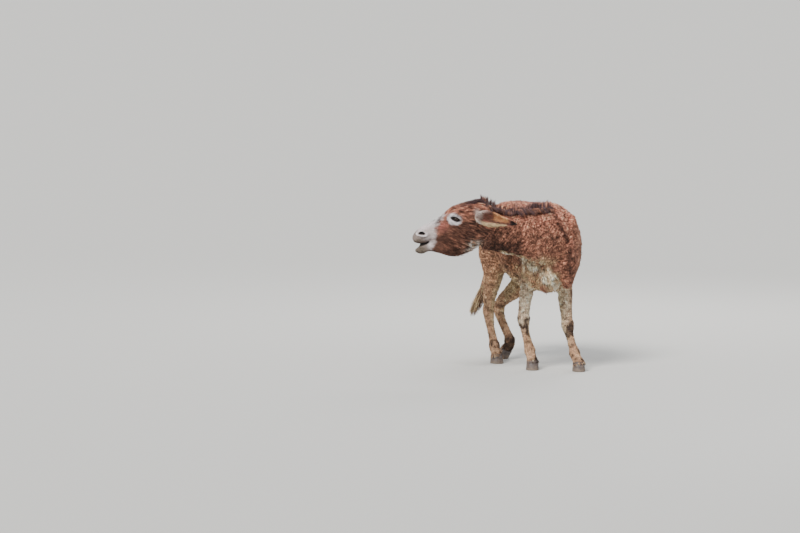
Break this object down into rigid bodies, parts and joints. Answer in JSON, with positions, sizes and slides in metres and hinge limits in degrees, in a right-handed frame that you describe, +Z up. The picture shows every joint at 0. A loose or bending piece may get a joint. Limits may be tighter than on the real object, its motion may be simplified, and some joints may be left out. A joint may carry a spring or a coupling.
{
  "type": "donkey",
  "caption": "Still life-size donkey, walking with its neck bent to its right and its head low, in a shaggy brown coat with a pale muzzle, eye rings and breast.",
  "frame": {"origin": "middle of the footprint box, on the floor", "axes": "+Z up, forequarters towards -Y, head towards -X, hindquarters towards +Y; the view along +Y is the one that it was rebuilt from"},
  "size_m": [1.1973, 1.3924, 1.2193],
  "materials": {
    "brown_coat": "shaggy short hair",
    "pale_coat": "shaggy pale hair",
    "leg_coat": "close hair",
    "dark_hair": "coarse dark hair",
    "hoof_horn": "dull horn",
    "eye_wet": "wet gloss"
  },
  "bodies": {
    "root": {"barrel": "brown_coat", "chest": "pale_coat", "croup": "brown_coat", "forelock": "dark_hair", "head": "brown_coat", "left_ear": "dark_hair", "left_eye": "eye_wet", "left_fore_cannon": "leg_coat", "left_fore_hoof": "hoof_horn", "left_fore_pastern": "leg_coat", "left_forearm": "leg_coat", "left_gaskin": "leg_coat", "left_hind_cannon": "leg_coat", "left_hind_hoof": "hoof_horn", "left_hind_pastern": "leg_coat", "left_hock": "leg_coat", "left_knee": "leg_coat", "left_shoulder": "brown_coat", "left_thigh": "brown_coat", "lower_jaw": "brown_coat", "mane": "dark_hair", "neck": "brown_coat", "right_ear": "dark_hair", "right_eye": "eye_wet", "right_fore_cannon": "leg_coat", "right_fore_hoof": "hoof_horn", "right_fore_pastern": "leg_coat", "right_forearm": "leg_coat", "right_gaskin": "leg_coat", "right_hind_cannon": "leg_coat", "right_hind_hoof": "hoof_horn", "right_hind_pastern": "leg_coat", "right_hock": "leg_coat", "right_knee": "leg_coat", "right_shoulder": "brown_coat", "right_thigh": "brown_coat", "tail_dock": "brown_coat", "tail_switch": "dark_hair"}
  },
  "joints": []
}
